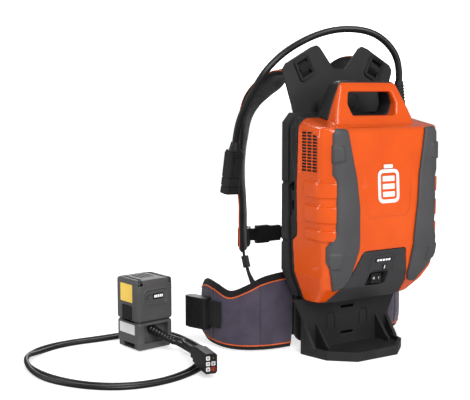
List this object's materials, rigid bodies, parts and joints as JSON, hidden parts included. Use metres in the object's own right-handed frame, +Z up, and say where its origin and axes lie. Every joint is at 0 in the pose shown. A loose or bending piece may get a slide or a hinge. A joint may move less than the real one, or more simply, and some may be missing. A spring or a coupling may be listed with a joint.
{
  "type": "backpack battery pack with harness",
  "caption": "Backpack battery pack for cordless garden tools: faceted case with handle and stand foot, padded harness, power lead with connector, and separate tool adapter with its own lead.",
  "frame": {"origin": "centre of the foot's underside", "axes": "+Z up, -Y the orange front with the control panel, +Y the wearer's side, +X the side where the power lead leaves the housing"},
  "size_m": [0.7789, 0.3932, 0.569],
  "materials": {
    "orange_shell": "glossy",
    "grey_shell": "matte, finely grained",
    "foot_plastic": "matte, finely grained",
    "adapter_shell": "matte, finely grained",
    "black_plastic": "satin",
    "clear_window": "glossy, smoked",
    "seal_rubber": "matte",
    "cell_metal": "satin sleeve",
    "nickel": "bright",
    "circuit": "satin",
    "screw_steel": "zinc",
    "contact_brass": "bright",
    "cord_rubber": "satin",
    "strap_mesh": "spacer mesh over foam",
    "webbing": "ribbed polyester webbing",
    "belt_fabric": "woven polyester over foam"
  },
  "bodies": {
    "pack": {"case_screws": "screw_steel", "foot_screws": "screw_steel", "front_cover": "orange_shell", "rear_housing": "grey_shell", "case_gasket": "seal_rubber", "bumper_right": "grey_shell", "bumper_left": "grey_shell", "control_panel": "grey_shell", "charge_window": "clear_window", "battery_cells": "cell_metal", "cell_holder_front": "black_plastic", "cell_holder_rear": "black_plastic", "busbars": "nickel", "control_board": "circuit", "vent_screens": "black_plastic", "stand_foot": "foot_plastic", "harness_frame": "grey_shell", "shoulder_pad_left": "strap_mesh", "shoulder_pad_right": "strap_mesh", "shoulder_webbing_left": "webbing", "shoulder_webbing_right": "webbing", "strap_adjusters": "black_plastic", "chest_strap_left": "webbing", "chest_strap_right": "webbing", "chest_buckle_socket": "black_plastic", "chest_buckle_plug": "black_plastic", "chest_sliders": "black_plastic", "back_pad": "strap_mesh", "lumbar_pad": "strap_mesh", "cable_gland": "black_plastic", "power_lead_boot": "seal_rubber", "power_lead": "cord_rubber", "lead_connector": "black_plastic", "connector_contacts": "contact_brass"},
    "switch": {"power_switch": "black_plastic"},
    "lamp_button": {"charge_button": "black_plastic"},
    "yoke": {"yoke_plate": "grey_shell", "ladder_buckles": "black_plastic", "yoke_webbing_left": "webbing", "yoke_webbing_right": "webbing"},
    "yoke_knob": {"yoke_lock_knob": "black_plastic"},
    "connector_lever": {"connector_latch": "black_plastic"},
    "adapter": {"adapter_lower_shell": "adapter_shell", "adapter_upper_shell": "adapter_shell", "adapter_window": "clear_window", "adapter_terminals": "contact_brass", "adapter_screws": "screw_steel", "adapter_strain_relief": "seal_rubber", "adapter_lead": "cord_rubber", "adapter_plug": "black_plastic", "plug_contacts": "contact_brass"},
    "adapter_grip_left": {"adapter_latch_left": "black_plastic"},
    "adapter_grip_right": {"adapter_latch_right": "black_plastic"},
    "adapter_key": {"adapter_button": "adapter_shell"},
    "hip_wing_left": {"hip_belt_left": "belt_fabric", "hip_webbing_left": "webbing", "hip_buckle_socket": "black_plastic"},
    "hip_wing_right": {"hip_belt_right": "belt_fabric", "hip_webbing_right": "webbing", "hip_buckle_plug": "black_plastic"}
  },
  "joints": [
    {"name": "switch_rock", "type": "hinge", "parent": "pack", "child": "switch", "pos_m": [0, -0.0455, 0.139], "axis": [-1, 0, 0], "range_deg": [0, 14]},
    {"name": "lamp_button_press", "type": "slide", "parent": "pack", "child": "lamp_button", "axis": [0, 0.9444, 0.3289], "range_m": [0, 0.0012], "stiffness_N_per_m": 800},
    {"name": "yoke_height", "type": "slide", "parent": "pack", "child": "yoke", "axis": [0, 0, 1], "range_m": [-0.045, 0.008]},
    {"name": "yoke_knob_turn", "type": "hinge", "parent": "yoke", "child": "yoke_knob", "pos_m": [0, 0.06, 0.425], "axis": [0, 1, 0], "range_deg": [0, 90]},
    {"name": "connector_latch_press", "type": "hinge", "parent": "pack", "child": "connector_lever", "pos_m": [-0.16969, 0.12835, 0.32308], "axis": [-0.9992, -0.0031, 0.0395], "range_deg": [0, 3], "stiffness_Nm_per_rad": 2},
    {"name": "adapter_set_down_slide", "type": "slide", "parent": "pack", "child": "adapter", "axis": [-1, 0, 0], "range_m": [0, 0.1]},
    {"name": "adapter_grip_left_press", "type": "slide", "parent": "adapter", "child": "adapter_grip_left", "axis": [0.9903, 0.1392, 0], "range_m": [0, 0.0025], "stiffness_N_per_m": 800},
    {"name": "adapter_grip_right_press", "type": "slide", "parent": "adapter", "child": "adapter_grip_right", "axis": [-0.9903, -0.1392, 0], "range_m": [0, 0.0025], "stiffness_N_per_m": 800},
    {"name": "adapter_key_press", "type": "slide", "parent": "adapter", "child": "adapter_key", "axis": [-0.1392, 0.9903, 0], "range_m": [0, 0.001], "stiffness_N_per_m": 800},
    {"name": "hip_wing_left_fold", "type": "hinge", "parent": "pack", "child": "hip_wing_left", "pos_m": [-0.09, 0.069, 0.07], "axis": [0, 0, -1], "range_deg": [0, 20]},
    {"name": "hip_wing_right_fold", "type": "hinge", "parent": "pack", "child": "hip_wing_right", "pos_m": [0.09, 0.069, 0.07], "axis": [0, 0, 1], "range_deg": [0, 20]}
  ]
}
